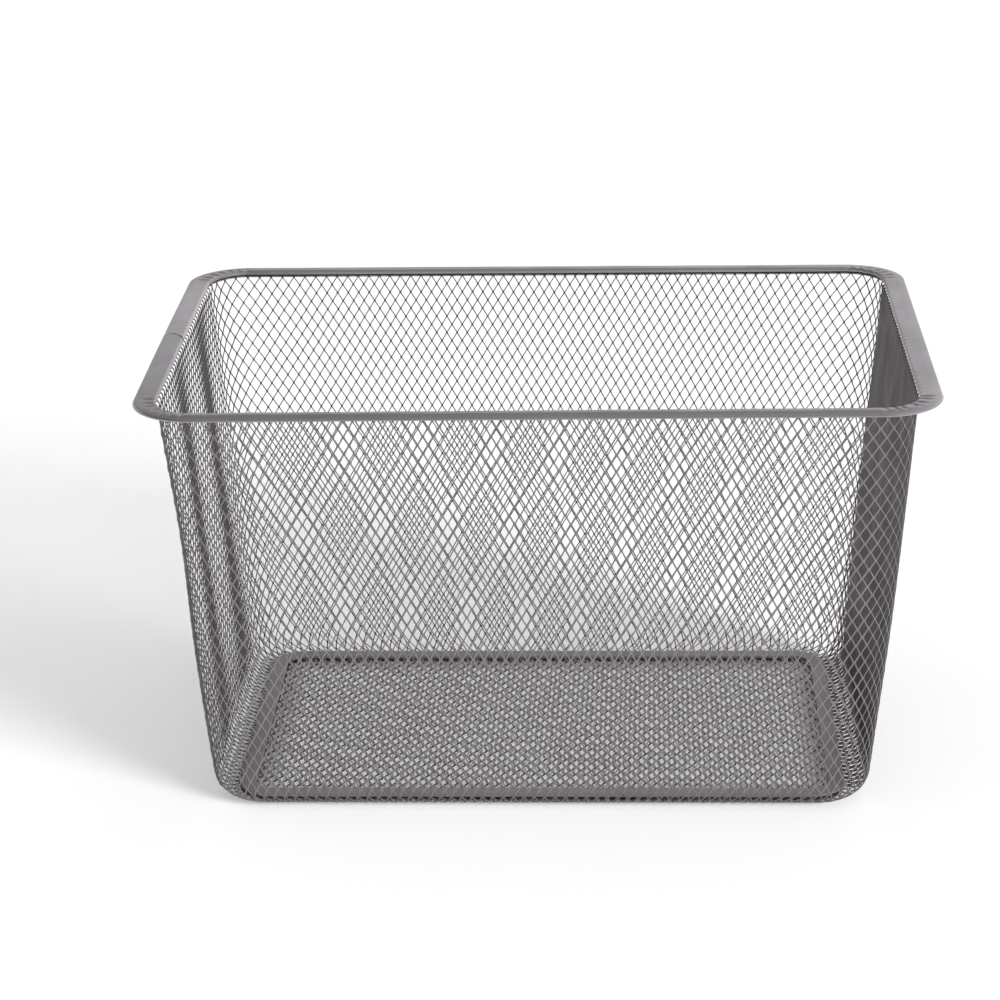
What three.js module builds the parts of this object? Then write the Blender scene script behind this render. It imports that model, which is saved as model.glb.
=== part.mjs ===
// Metal basket: a deep, tapering basket of expanded-metal mesh hung from a folded sheet-steel rim.
// Millimetres, +Z up, X along the long side, Y from the front to the back.
// The origin lies on the resting plane, under the middle of the basket.
import * as THREE from "three";

// Overall size, over the rim and from the resting plane to the top of the rim.
const basketLength = 430;
const basketDepth = 300;
const basketHeight = 240;

// Rim: one strip of sheet folded flat over the top edge of the mesh, open on its inner side.
const sideFlangeWidth = 12.5;
const endFlangeWidth = 9;
const rimCornerRadius = 34;
const rimSheet = 0.7;
const rimLipBend = 0.5;
const lowerLipInset = 1;
const lapLength = 16;
const lapEdge = 0.4;

// Mesh: strands of expanded metal, drawn coarser than the real ones and stouter to match their weight.
const meshThickness = 1.2;
const strandWidth = 3.4;
const meshInset = 0.5;
const meshFlareReach = 3.7;
const meshFlareDrop = 1.9;
const wallLean = 19;
const wallFootRadius = 13.5;
const wallFootCornerRadius = 30;
const wallSeat = 3.5;
const floorSeat = 2.4;

// Base: two flat strips that take the foot of the wall and the edge of the floor mesh between them.
// They lie inside the foot of the wall by an inset at the sides, and another at the front and back.
const stripSideInset = 13;
const stripEndInset = 15.5;
const stripWidth = 9;
const stripCornerRadius = 20;
const stripSheet = 0.7;
const stripLipHeight = 0.7;

// Fits: clear space between pieces that seat on each other.
const seatClearance = 0.3;

// Counts: diamonds of the mesh, rows of its knots, and steps that round a bend.
const endColumns = 9;
const sideColumns = 6;
const cornerColumns = 1;
const wallKnotRows = 8;
const floorColumns = 8;
const floorKnotRows = 7;
const cornerSteps = 8;
const rollSteps = 6;
const lipSteps = 3;

// Levels and fits that follow from the sizes above.
const rimHeight = 2 * rimSheet + meshThickness + 2 * seatClearance;
const lapPress = rimSheet / 2;
const footLevel = stripSheet + seatClearance + meshThickness / 2;
const upperStripBase = footLevel + meshThickness / 2 + seatClearance;
const wallTopLevel = basketHeight - rimHeight / 2 - meshFlareDrop;

// A plan outline is a rectangle with round corners: half distances to the corner centres, and the
// corner radii along X and along Y.
function outline(halfLength, halfDepth, radius) {
  return {
    centreX: halfLength - radius,
    centreY: halfDepth - radius,
    radiusX: radius,
    radiusY: radius,
  };
}

function halfSize(shape) {
  return { x: shape.centreX + shape.radiusX, y: shape.centreY + shape.radiusY };
}

// The outline drawn in on every side, about the same corner centres.
function insetOutline(base, insetX, insetY = insetX) {
  return {
    ...base,
    radiusX: base.radiusX - insetX,
    radiusY: base.radiusY - insetY,
  };
}

const rimOuter = outline(basketLength / 2, basketDepth / 2, rimCornerRadius);
const rimInner = insetOutline(rimOuter, sideFlangeWidth, endFlangeWidth);
const wallTop = insetOutline(rimInner, meshInset);
const topHalf = halfSize(wallTop);
const wallFoot = outline(topHalf.x - wallLean, topHalf.y - wallLean, wallFootCornerRadius);
const footHalf = halfSize(wallFoot);
const stripHalf = { x: footHalf.x - stripSideInset, y: footHalf.y - stripEndInset };
const stripOuter = outline(stripHalf.x, stripHalf.y, stripCornerRadius);

// A stretch is one straight run or one corner of an outline. Quarter 0 is the front run and the
// corner at its right end, and the others follow counter-clockwise, seen from above.
const quarterSigns = [
  [1, -1],
  [1, 1],
  [-1, 1],
  [-1, -1],
];

function startAngle(quarter) {
  return (quarter - 1) * (Math.PI / 2);
}

function cornerPoint(shape, quarter, angle) {
  const [signX, signY] = quarterSigns[quarter % 4];
  return new THREE.Vector2(
    signX * shape.centreX + shape.radiusX * Math.cos(angle),
    signY * shape.centreY + shape.radiusY * Math.sin(angle),
  );
}

// The point at a share of a stretch, and the level direction that points out of the basket there.
function planPoint(shape, { quarter, isCorner }, share) {
  const start = startAngle(quarter);
  const angle = isCorner ? start + share * (Math.PI / 2) : start;
  const outward = new THREE.Vector2(Math.cos(angle), Math.sin(angle));
  if (isCorner) {
    return { point: cornerPoint(shape, quarter, angle), outward };
  }
  const from = cornerPoint(shape, quarter + 3, start);
  const to = cornerPoint(shape, quarter, start);
  return { point: from.lerp(to, share), outward };
}

function stretchLength(shape, { quarter, isCorner }) {
  if (isCorner) {
    return (Math.PI / 4) * (shape.radiusX + shape.radiusY);
  }
  return 2 * (quarter % 2 === 0 ? shape.centreX : shape.centreY);
}

// Stations round an outline: both ends of each run, and the steps of each corner.
function stations() {
  return quarterSigns.flatMap((_, quarter) => [
    { stretch: { quarter, isCorner: false }, share: 0 },
    ...Array.from({ length: cornerSteps }, (_step, step) => ({
      stretch: { quarter, isCorner: true },
      share: step / cornerSteps,
    })),
  ]);
}

function bufferBody(positions, indices) {
  const geometry = new THREE.BufferGeometry();
  geometry.setAttribute("position", new THREE.Float32BufferAttribute(positions, 3));
  geometry.setIndex(indices);
  geometry.computeVertexNormals();
  return geometry;
}

// A closed body from sections that follow each other round the basket and meet again.
function ringBody(sections) {
  const count = sections[0].length;
  const positions = sections.flat().flatMap((point) => point.toArray());
  const indices = [];
  sections.forEach((_, section) => {
    const here = section * count;
    const next = ((section + 1) % sections.length) * count;
    for (let i = 0; i < count; i += 1) {
      const j = (i + 1) % count;
      indices.push(here + i, next + j, next + i);
      indices.push(here + i, here + j, next + j);
    }
  });
  return bufferBody(positions, indices);
}

// Points of an arc in a section, between two angles.
function arcPoints(centre, radius, from, to, steps) {
  return Array.from({ length: steps + 1 }, (_, step) => {
    const angle = from + ((to - from) * step) / steps;
    return new THREE.Vector2(
      centre.x + radius * Math.cos(angle),
      centre.y + radius * Math.sin(angle),
    );
  });
}

// Section of the folded rim, x running outwards from its inner edge and y up from its top face.
// The upper sheet has its edge turned down, the outer edge is rolled, and the lower sheet comes back
// under the flare of the mesh and slopes down beside it. A pressed section is thinner on its outside.
function rimSection(width, pressed) {
  const quarterTurn = Math.PI / 2;
  const lipRadius = rimSheet + rimLipBend;
  const lipCentre = new THREE.Vector2(lipRadius, -lipRadius);
  const rollRadius = rimHeight / 2;
  const rollCentre = new THREE.Vector2(width - rollRadius, -rollRadius);
  const bendX = meshFlareReach - meshInset + seatClearance;
  const lipDrop = ((bendX - lowerLipInset) * meshFlareDrop) / meshFlareReach;
  const outside = [
    ...arcPoints(lipCentre, lipRadius - pressed, 2 * quarterTurn, quarterTurn, lipSteps),
    ...arcPoints(rollCentre, rollRadius - pressed, quarterTurn, -quarterTurn, rollSteps),
    new THREE.Vector2(bendX, pressed - rimHeight),
    new THREE.Vector2(lowerLipInset, pressed - rimHeight - lipDrop),
  ];
  const inside = [
    new THREE.Vector2(lowerLipInset, rimSheet - rimHeight - lipDrop),
    new THREE.Vector2(bendX, rimSheet - rimHeight),
    ...arcPoints(rollCentre, rollRadius - rimSheet, -quarterTurn, quarterTurn, rollSteps),
    ...arcPoints(lipCentre, rimLipBend, quarterTurn, 2 * quarterTurn, lipSteps),
  ];
  return [...outside, ...inside];
}

// The rim's section at a station, set up between the inner and the outer outline.
function rimRing({ stretch, share, pressed = 0 }) {
  const inner = planPoint(rimInner, stretch, share).point;
  const across = planPoint(rimOuter, stretch, share).point.sub(inner);
  const width = across.length();
  across.normalize();
  return rimSection(width, pressed).map(
    ({ x, y }) =>
      new THREE.Vector3(inner.x + across.x * x, inner.y + across.y * x, basketHeight + y),
  );
}

// In the middle of the left flange the strip's ends lap: the rear end is pressed thinner towards the
// edge of the front one, under which it slips.
function lapStations(stretch) {
  const run = stretchLength(rimOuter, stretch);
  return [
    { stretch, share: 1 / 2 - lapLength / run },
    { stretch, share: 1 / 2 - lapEdge / run, pressed: lapPress },
    { stretch, share: 1 / 2 },
  ];
}

function rimStrip() {
  const leftQuarter = 3;
  const list = stations().flatMap((station) => {
    const { quarter, isCorner } = station.stretch;
    const startsLeftRun = quarter === leftQuarter && !isCorner;
    return startsLeftRun ? [station, ...lapStations(station.stretch)] : [station];
  });
  return ringBody(list.map(rimRing));
}

// A strip round the floor. In its section x runs inwards from the strip's outer edge, and y up.
function floorStrip(section, level) {
  return ringBody(
    stations().map(({ stretch, share }) => {
      const { point, outward } = planPoint(stripOuter, stretch, share);
      return section.map(
        ([x, y]) =>
          new THREE.Vector3(point.x - outward.x * x, point.y - outward.y * x, level + y),
      );
    }),
  );
}

function lowerStrip() {
  const section = [
    [0, 0],
    [stripWidth, 0],
    [stripWidth, stripSheet],
    [0, stripSheet],
  ];
  return floorStrip(section, 0);
}

// The upper strip is a shallow channel, open downwards, whose edges press on the mesh.
function upperStrip() {
  const top = stripSheet + stripLipHeight;
  const section = [
    [0, 0],
    [stripSheet, 0],
    [stripSheet, stripLipHeight],
    [stripWidth - stripSheet, stripLipHeight],
    [stripWidth - stripSheet, 0],
    [stripWidth, 0],
    [stripWidth, top],
    [0, top],
  ];
  return floorStrip(section, upperStripBase);
}

// The walls' slope, and the lengths of their path in section: a flare into the rim, the slanting
// wall, a round foot, and a level edge that reaches between the floor strips, as at the front.
const taper = Math.atan2(wallLean, wallTopLevel - footLevel - wallFootRadius);
const wallFootStart = footLevel + wallFootRadius * (1 - Math.sin(taper));
const flareLength = Math.hypot(meshFlareReach, meshFlareDrop);
const wallLength = (wallTopLevel - wallFootStart) / Math.cos(taper);
const footAngle = Math.PI / 2 - taper;
const footArcLength = wallFootRadius * footAngle;
const footEdgeLength = stripEndInset - wallFootRadius * Math.cos(taper) + wallSeat;
const footArcStart = flareLength + wallLength;
const footArcEnd = footArcStart + footArcLength;
const wallPathLength = footArcEnd + footEdgeLength;
const wallBends = [flareLength, footArcStart, footArcStart + footArcLength / 2, footArcEnd];

// How much longer the level edge is at a share of a stretch than at the front, so that all of it
// seats between the strips.
function extraEdge({ quarter, isCorner }, share) {
  const insets = [stripEndInset, stripSideInset];
  const from = insets[quarter % 2];
  const to = insets[(quarter + 1) % 2];
  return (isCorner ? THREE.MathUtils.lerp(from, to, share) : from) - stripEndInset;
}

// Place on the walls' path, measured along it from the edge in the rim: the share of the way from
// the top outline to the foot outline, how far outside that outline, the level, and the direction
// that faces out of the basket, as its outward and its upward part.
function wallPath(along, extra = 0) {
  if (along < flareLength) {
    const left = 1 - along / flareLength;
    return {
      down: 0,
      outside: meshFlareReach * left,
      level: wallTopLevel + meshFlareDrop * left,
      facing: [meshFlareDrop / flareLength, -meshFlareReach / flareLength],
    };
  }
  if (along < footArcStart) {
    const down = (along - flareLength) / wallLength;
    return {
      down,
      outside: 0,
      level: THREE.MathUtils.lerp(wallTopLevel, wallFootStart, down),
      facing: [Math.cos(taper), -Math.sin(taper)],
    };
  }
  const turned = taper + Math.min((along - footArcStart) / wallFootRadius, footAngle);
  const pastArc = Math.max(along - footArcEnd, 0) * (1 + extra / footEdgeLength);
  return {
    down: 1,
    outside: wallFootRadius * (Math.cos(turned) - Math.cos(taper)) - pastArc,
    level: footLevel + wallFootRadius * (1 - Math.sin(turned)),
    facing: [Math.cos(turned), -Math.sin(turned)],
  };
}

// A point of a wall, at a share of its stretch, lifted off its middle surface.
function wallPoint(stretch, share, along, lift) {
  const { down, outside, level, facing } = wallPath(along, extraEdge(stretch, share));
  const top = planPoint(wallTop, stretch, share);
  const foot = planPoint(wallFoot, stretch, share).point;
  const place = top.point.lerp(foot, down);
  const reach = outside + facing[0] * lift;
  return new THREE.Vector3(
    place.x + top.outward.x * reach,
    place.y + top.outward.y * reach,
    level + facing[1] * lift,
  );
}

// Width of a stretch of wall at a place on its path.
function wallWidth(stretch, along) {
  const { down, outside } = wallPath(along);
  const widths = [wallTop, wallFoot].map((shape) => stretchLength(shape, stretch));
  const width = THREE.MathUtils.lerp(widths[0], widths[1], down);
  return stretch.isCorner ? width + (Math.PI / 2) * outside : width;
}

// One knot of a net, where four strands meet, as the notches between them: north, east, south and
// west. A knot on the net's edge is cut off there, and one in its corner has a tip for two notches.
function knot(net, row, column) {
  const { columns, rows, length, widthAt, addVertex } = net;
  const along = (row / rows) * length;
  const isFirst = column === 0;
  const isLast = column === columns;
  const slant = Math.atan2(widthAt(along) / columns / 2, length / rows);
  const reachAlong = strandWidth / 2 / Math.sin(slant);
  const reachAcross = strandWidth / 2 / Math.cos(slant) / widthAt(along);
  const edgeShare = (at) => seatClearance / 2 / widthAt(at);
  const shareAt = (at) =>
    THREE.MathUtils.clamp(column / columns, edgeShare(at), 1 - edgeShare(at));
  const onColumn = (at) => addVertex(shareAt(at), at);
  const tip = (isFirst || isLast) && (row === 0 || row === rows) ? onColumn(along) : null;
  return {
    north: row === 0 ? tip : onColumn(along - reachAlong),
    east: isLast ? null : addVertex(column / columns + reachAcross, along),
    south: row === rows ? tip : onColumn(along + reachAlong),
    west: isFirst ? null : addVertex(column / columns - reachAcross, along),
  };
}

// One edge of a strand, between two notches, with a vertex wherever it crosses a bend.
function strandEdge(net, from, to, bends) {
  const start = net.vertices[from];
  const end = net.vertices[to];
  const crossings = bends.map((bend) => {
    const share = (bend - start.along) / (end.along - start.along);
    if (share <= 0) {
      return from;
    }
    return share >= 1
      ? to
      : net.addVertex(THREE.MathUtils.lerp(start.share, end.share, share), bend);
  });
  return [from, ...crossings, to];
}

// The faces of one strand between its right and its left edge, seen from outside.
function addStrand(net, rightEnds, leftEnds) {
  const ends = [...rightEnds, ...leftEnds].map((index) => net.vertices[index].along);
  const bends = net.bends.filter((bend) => bend > Math.min(...ends) && bend < Math.max(...ends));
  const right = strandEdge(net, ...rightEnds, bends);
  const left = strandEdge(net, ...leftEnds, bends);
  right.slice(1).forEach((_, i) => {
    const face = [right[i], right[i + 1], left[i + 1], left[i]];
    net.faces.push(face.filter((index, k) => index !== face[(k + 1) % 4]));
  });
}

// A net of diamonds as a flat pattern: staggered rows of knots joined by slanting strands. Its
// vertices are shares across the net and lengths along it, and its faces run clockwise.
function netPattern({ columns, knotRows, startsStaggered = false, length, widthAt, bends = [] }) {
  const vertices = [];
  const addVertex = (share, along) => vertices.push({ share, along }) - 1;
  const rows = knotRows - 1;
  const net = { columns, rows, length, widthAt, bends, vertices, faces: [], addVertex };
  const isStaggered = (row) => (row % 2 === 1) !== startsStaggered;
  const knots = Array.from({ length: knotRows }, (_, row) => {
    const shift = isStaggered(row) ? 1 / 2 : 0;
    const count = isStaggered(row) ? columns : columns + 1;
    return Array.from({ length: count }, (_knot, i) => knot(net, row, i + shift));
  });
  knots.flat().forEach(({ north, east, south, west }) => {
    net.faces.push([north, east, south, west].filter((index) => index !== null));
  });
  knots.slice(1).forEach((below, row) => {
    const rightStep = isStaggered(row) ? 1 : 0;
    knots[row].forEach((above, i) => {
      const toRight = below[i + rightStep];
      const toLeft = below[i + rightStep - 1];
      if (toRight) {
        addStrand(net, [above.east, toRight.north], [above.south, toRight.west]);
      }
      if (toLeft) {
        addStrand(net, [above.south, toLeft.east], [above.west, toLeft.north]);
      }
    });
  });
  return net;
}

// The net as a closed sheet: its pattern set up on both faces, and walls round its gaps and edges.
function netBody({ vertices, faces }, place) {
  const count = vertices.length;
  const positions = [-1, 1].flatMap((side) =>
    vertices.flatMap(({ share, along }) =>
      place(share, along, (side * meshThickness) / 2).toArray(),
    ),
  );
  const indices = [];
  const edges = new Map();
  faces.forEach((face) => {
    for (let k = 1; k < face.length - 1; k += 1) {
      indices.push(face[0], face[k], face[k + 1]);
      indices.push(count + face[0], count + face[k + 1], count + face[k]);
    }
    face.forEach((from, k) => {
      const to = face[(k + 1) % face.length];
      edges.set(`${from} ${to}`, [from, to]);
    });
  });
  for (const [from, to] of edges.values()) {
    if (!edges.has(`${to} ${from}`)) {
      indices.push(to, from, count + from, to, count + from, count + to);
    }
  }
  return bufferBody(positions, indices);
}

function wallNet(stretch) {
  const columnCounts = [endColumns, sideColumns];
  const columns = stretch.isCorner ? cornerColumns : columnCounts[stretch.quarter % 2];
  const rowHeight = wallPathLength / (wallKnotRows - 1);
  const middles = Array.from({ length: wallKnotRows - 1 }, (_, row) => (row + 1 / 2) * rowHeight);
  const bends = stretch.isCorner ? [...middles, ...wallBends] : wallBends;
  const pattern = netPattern({
    columns,
    knotRows: wallKnotRows,
    length: wallPathLength,
    widthAt: (along) => wallWidth(stretch, along),
    bends: bends.sort((a, b) => a - b),
  });
  return netBody(pattern, (share, along, lift) => wallPoint(stretch, share, along, lift));
}

// The floor mesh reaches a little way between the strips. Its corners hold no knot, which leaves
// room for the strips' round corners.
function floorNet() {
  const width = 2 * (stripHalf.x - stripWidth + floorSeat);
  const length = 2 * (stripHalf.y - stripWidth + floorSeat);
  const pattern = netPattern({
    columns: floorColumns,
    knotRows: floorKnotRows,
    startsStaggered: true,
    length,
    widthAt: () => width,
  });
  return netBody(
    pattern,
    (share, along, lift) =>
      new THREE.Vector3((share - 1 / 2) * width, length / 2 - along, footLevel + lift),
  );
}

const finishes = {
  rim: { color: "#aea9ae", roughness: 0.42, metalness: 0.75 },
  mesh: { color: "#a6a3a7", roughness: 0.38, metalness: 0.85 },
  strip: { color: "#9a969b", roughness: 0.45, metalness: 0.75 },
};

function piece(name, geometry, finish) {
  const mesh = new THREE.Mesh(geometry, new THREE.MeshStandardMaterial(finishes[finish]));
  mesh.name = name;
  return mesh;
}

const wallNames = ["front_mesh", "right_mesh", "back_mesh", "left_mesh"];
const cornerNames = [
  "front_right_corner_mesh",
  "back_right_corner_mesh",
  "back_left_corner_mesh",
  "front_left_corner_mesh",
];

const basket = new THREE.Group();
basket.add(piece("rim_strip", rimStrip(), "rim"));
wallNames.forEach((name, quarter) => {
  basket.add(piece(name, wallNet({ quarter, isCorner: false }), "mesh"));
});
cornerNames.forEach((name, quarter) => {
  basket.add(piece(name, wallNet({ quarter, isCorner: true }), "mesh"));
});
basket.add(piece("floor_mesh", floorNet(), "mesh"));
basket.add(piece("base_joint_strip_upper", upperStrip(), "strip"));
basket.add(piece("base_joint_strip_lower", lowerStrip(), "strip"));

export default basket;
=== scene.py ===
# Dresses the metal basket: expanded-metal walls and floor, a folded rim, two base strips, and a pale studio.
# Sizes are in millimetres and degrees, and become metres and radians where a mesh or a node takes them.
import bisect
import functools
import math

import bpy
from mathutils import Matrix, Vector, noise


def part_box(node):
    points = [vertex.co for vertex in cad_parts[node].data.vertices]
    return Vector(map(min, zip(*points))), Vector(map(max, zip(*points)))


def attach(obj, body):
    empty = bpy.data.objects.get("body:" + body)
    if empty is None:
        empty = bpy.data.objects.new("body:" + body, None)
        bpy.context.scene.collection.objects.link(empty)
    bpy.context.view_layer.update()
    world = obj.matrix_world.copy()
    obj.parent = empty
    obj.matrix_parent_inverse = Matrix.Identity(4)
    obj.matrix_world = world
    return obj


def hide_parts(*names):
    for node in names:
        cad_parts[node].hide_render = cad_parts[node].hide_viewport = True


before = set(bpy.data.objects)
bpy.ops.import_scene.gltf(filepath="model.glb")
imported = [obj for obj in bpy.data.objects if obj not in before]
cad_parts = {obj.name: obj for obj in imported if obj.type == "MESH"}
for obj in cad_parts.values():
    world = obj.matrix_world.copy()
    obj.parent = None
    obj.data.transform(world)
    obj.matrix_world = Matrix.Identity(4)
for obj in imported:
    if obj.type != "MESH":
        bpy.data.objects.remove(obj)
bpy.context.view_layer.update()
mm = 0.001


def nodeBox(node):
    low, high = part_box(node)
    return low / mm, high / mm


_, rimHigh = nodeBox("rim_strip")
floorLow, floorHigh = nodeBox("floor_mesh")
upperLow, upperHigh = nodeBox("base_joint_strip_upper")
lowerLow, lowerHigh = nodeBox("base_joint_strip_lower")
print("frame: rim", [round(x, 1) for x in rimHigh], "strips", [round(x, 1) for x in upperHigh])


# Helpers: numbers, nodes, meshes and finished pieces

def clamp(value, low=0, high=1):
    return min(max(value, low), high)


def addNode(tree, kind, inputs=None, **settings):
    node = tree.nodes.new(kind)
    for name, value in settings.items():
        setattr(node, name, value)
    for socket, source in (inputs or {}).items():
        if isinstance(source, bpy.types.NodeSocket):
            tree.links.new(source, node.inputs[socket])
        else:
            node.inputs[socket].default_value = source
    return node


def newOutput(tree, kind, inputs=None, **settings):
    return addNode(tree, kind, inputs, **settings).outputs[0]


def calc(tree, operation, *values):
    # With three values or more, the first two are taken together, then the next with that, and so on.
    def join(*pair):
        return newOutput(tree, "ShaderNodeMath", dict(enumerate(pair)), operation=operation)

    return join(*values) if len(values) < 3 else functools.reduce(join, values)


def arithmetic(tree):
    return [functools.partial(calc, tree, name) for name in ("ADD", "SUBTRACT", "MULTIPLY", "DIVIDE")]


def calcVector(tree, operation, first, second=None, factor=None):
    inputs = {0: first, 1: second, "Scale": factor}
    inputs = {socket: value for socket, value in inputs.items() if value is not None}
    return newOutput(tree, "ShaderNodeVectorMath", inputs, operation=operation)


def mapRange(tree, value, start, end, low=0.0, high=1.0, ease="LINEAR"):
    return newOutput(tree, "ShaderNodeMapRange", {"Value": value, "From Min": start, "From Max": end,
                                                  "To Min": low, "To Max": high}, interpolation_type=ease)


def mixColors(tree, factor, first, second):
    return addNode(tree, "ShaderNodeMix", {"Factor": factor, "A": first, "B": second},
                   data_type="RGBA").outputs["Result"]


def splitVector(tree, vector):
    return addNode(tree, "ShaderNodeSeparateXYZ", {0: vector}).outputs


def groupSockets(tree, inputs, outputs):
    for name, (kind, value) in inputs.items():
        socket = tree.interface.new_socket(name, in_out="INPUT", socket_type="NodeSocket" + kind)
        if value is not None:
            socket.default_value = value
    for name, kind in outputs.items():
        tree.interface.new_socket(name, in_out="OUTPUT", socket_type="NodeSocket" + kind)
    return tree.nodes.new("NodeGroupInput").outputs


# How the real one stands out of square: shifts in mm at the rim's level, fading to nothing at the base.
outOfSquare = {"leftFrontIn": 1.7, "leftFrontDown": 1.0, "rightFrontBack": 2.6}


def standsOut(point):
    point = Vector(point)
    level = clamp(point.z / rimHigh.z)
    front = clamp(0.5 - point.y / rimHigh.y / 2)
    left = clamp(-point.x / rimHigh.x)
    right = clamp(point.x / rimHigh.x)
    return point + level * front * Vector((outOfSquare["leftFrontIn"] * left * front,
                                           outOfSquare["rightFrontBack"] * right * front,
                                           -outOfSquare["leftFrontDown"] * left * front))


def linked(name, data):
    thing = bpy.data.objects.new(name, data)
    bpy.context.scene.collection.objects.link(thing)
    return thing


def meshPiece(name, points, faces):
    mesh = bpy.data.meshes.new(name)
    mesh.from_pydata([standsOut(point) * mm for point in points], [], faces)
    mesh.update()
    return linked(name, mesh)


def shadeSmooth(piece, sharpFrom):
    # Faces shade smoothly into each other, and edges that turn by more than sharpFrom degrees stay crisp.
    piece.data.shade_smooth()
    piece.data.set_sharp_from_angle(angle=math.radians(sharpFrom))


def dress(piece, material):
    piece.data.materials.clear()
    piece.data.materials.append(material)


def seat(piece, slot, *nodes):
    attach(piece, "root")
    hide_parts(*nodes)


# Plan outlines: rectangles with round corners, walked counter-clockwise as runs and corners

cornerSigns = ((1, -1), (1, 1), (-1, 1), (-1, -1))
stretches = [(quarter, isCorner) for quarter in range(4) for isCorner in (False, True)]


def planOutline(halfLength, halfDepth, radius):
    return {"centre": Vector((halfLength - radius, halfDepth - radius)), "radii": Vector((radius, radius))}


def insetBy(outline, insetX, insetY):
    return {"centre": outline["centre"], "radii": outline["radii"] - Vector((insetX, insetY))}


def halfSize(outline):
    return outline["centre"] + outline["radii"]


def runLength(outline, quarter):
    return 2 * (outline["centre"].x if quarter % 2 == 0 else outline["centre"].y)


def outlinePoint(outline, quarter, isCorner, share):
    start = (quarter - 1) * math.pi / 2
    angle = start + share * math.pi / 2 if isCorner else start
    outward = Vector((math.cos(angle), math.sin(angle)))

    def cornerPoint(corner):
        signs = Vector(cornerSigns[corner % 4])
        return Vector(signs * outline["centre"] + outline["radii"] * outward)

    if isCorner:
        return cornerPoint(quarter), outward
    return cornerPoint(quarter + 3).lerp(cornerPoint(quarter), share), outward


def closedBand(sections, inwards=False):
    # Like sections, one after the other round the basket, joined by faces into one closed band.
    # The faces are turned round where the sections' x runs inwards.
    count = len(sections[0])
    faces = []
    for s in range(len(sections)):
        here, after = s * count, (s + 1) % len(sections) * count
        for i in range(count):
            j = (i + 1) % count
            corners = (here + j, after + j, after + i)
            faces.append((here + i, *(corners[::-1] if inwards else corners)))
    return [point for section in sections for point in section], faces


rim = {
    "cornerRadius": 34, "sideWidth": 12.5, "endWidth": 9, "height": 3.2, "sheet": 0.7,
    "lipRadius": 1.15, "lipDrop": 2.55, "lowerLip": 1.0, "lowerBend": 3.5, "lowerDrop": 1.25,
    "sideCrown": 0.2, "frontCrown": 1.15, "backCrown": 0.25, "sideShoulder": 0.72, "endShoulder": 0.5,
    "hollowAngle": 22, "hollowWidth": 17, "hollowDepth": 0.28,
    "crownBend": 1.25, "runStep": 1.25, "cornerSteps": 48, "lipSteps": 6, "topSteps": 14, "rollSteps": 20,
    "topFrom": -1.4, "ripplePitch": 6.2, "rippleDepth": 0.24, "rippleSize": 23, "rippleReach": 0.6,
    "rippleSkew": 3, "rippleSharp": 2.5, "rippleFade": 0.8, "rippleOnEnds": 0.5,
    "pleatDepth": 0.95, "pleats": 7, "pleatPlace": 0.3, "pleatReach": 0.5, "pleatStray": 2.2,
    "pleatSharp": 1.5, "dentDepth": 0.16, "dentSize": 24,
    "lapStep": 0.3, "lapGroove": 2.3, "lapEase": 16, "lapFloor": 1.3, "lapEdge": 2.5, "lapLimit": 0.5,
    "rearSheen": 0.3, "clear": 0.02, "sharpFrom": 48,
}
rimOuter = planOutline(rimHigh.x, rimHigh.y, rim["cornerRadius"])
rimInner = insetBy(rimOuter, rim["sideWidth"], rim["endWidth"])

wall = {
    "inset": 0.5, "flareReach": 3.7, "flareDrop": 1.9, "lean": 19, "footRadius": 13.5,
    "footCornerRadius": 30, "seat": 3.5, "footLevel": 1.6,
    "columns": {"front": 58, "side": 37, "corner": 4}, "columnPitchAtFoot": 5.7, "quarterAtFoot": 291.7,
    "cornerSqueezeWidth": 5, "cornerStretchAtRim": 0.226, "rowHeight": 10.12,
}
wallTop = insetBy(rimInner, wall["inset"], wall["inset"])
footHalf = halfSize(wallTop) - Vector((wall["lean"], wall["lean"]))
wallFoot = planOutline(footHalf.x, footHalf.y, wall["footCornerRadius"])
stripInset = footHalf - Vector((upperHigh.x, upperHigh.y))


# Shader groups: one for the steel's surface, one for rubbed edges

def steelGroup():
    tree = bpy.data.node_groups.new("satinSteel", "ShaderNodeTree")
    given = groupSockets(tree, {
        "Vector": ("Vector", None), "Cool Color": ("Color", (0.4, 0.38, 0.4, 1)),
        "Warm Color": ("Color", (0.36, 0.34, 0.33, 1)), "Mottle Scale": ("Float", 30.0),
        "Grain Scale": ("Float", 2200.0), "Roughness": ("Float", 0.42), "Roughness Spread": ("Float", 0.12),
    }, {"Color": "Color", "Roughness": "Float", "Height": "Float"})
    mottle = addNode(tree, "ShaderNodeTexNoise",
                     {"Vector": given["Vector"], "Scale": given["Mottle Scale"], "Detail": 4.0})
    grain = addNode(tree, "ShaderNodeTexNoise",
                    {"Vector": given["Vector"], "Scale": given["Grain Scale"], "Detail": 2.0})
    share = mapRange(tree, mottle.outputs["Fac"], 0.35, 0.65)
    spread = calc(tree, "MULTIPLY", calc(tree, "SUBTRACT", share, 0.5), given["Roughness Spread"])
    addNode(tree, "NodeGroupOutput", {
        "Color": mixColors(tree, share, given["Cool Color"], given["Warm Color"]),
        "Roughness": calc(tree, "ADD", given["Roughness"], spread), "Height": grain.outputs["Fac"]})
    return tree


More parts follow.
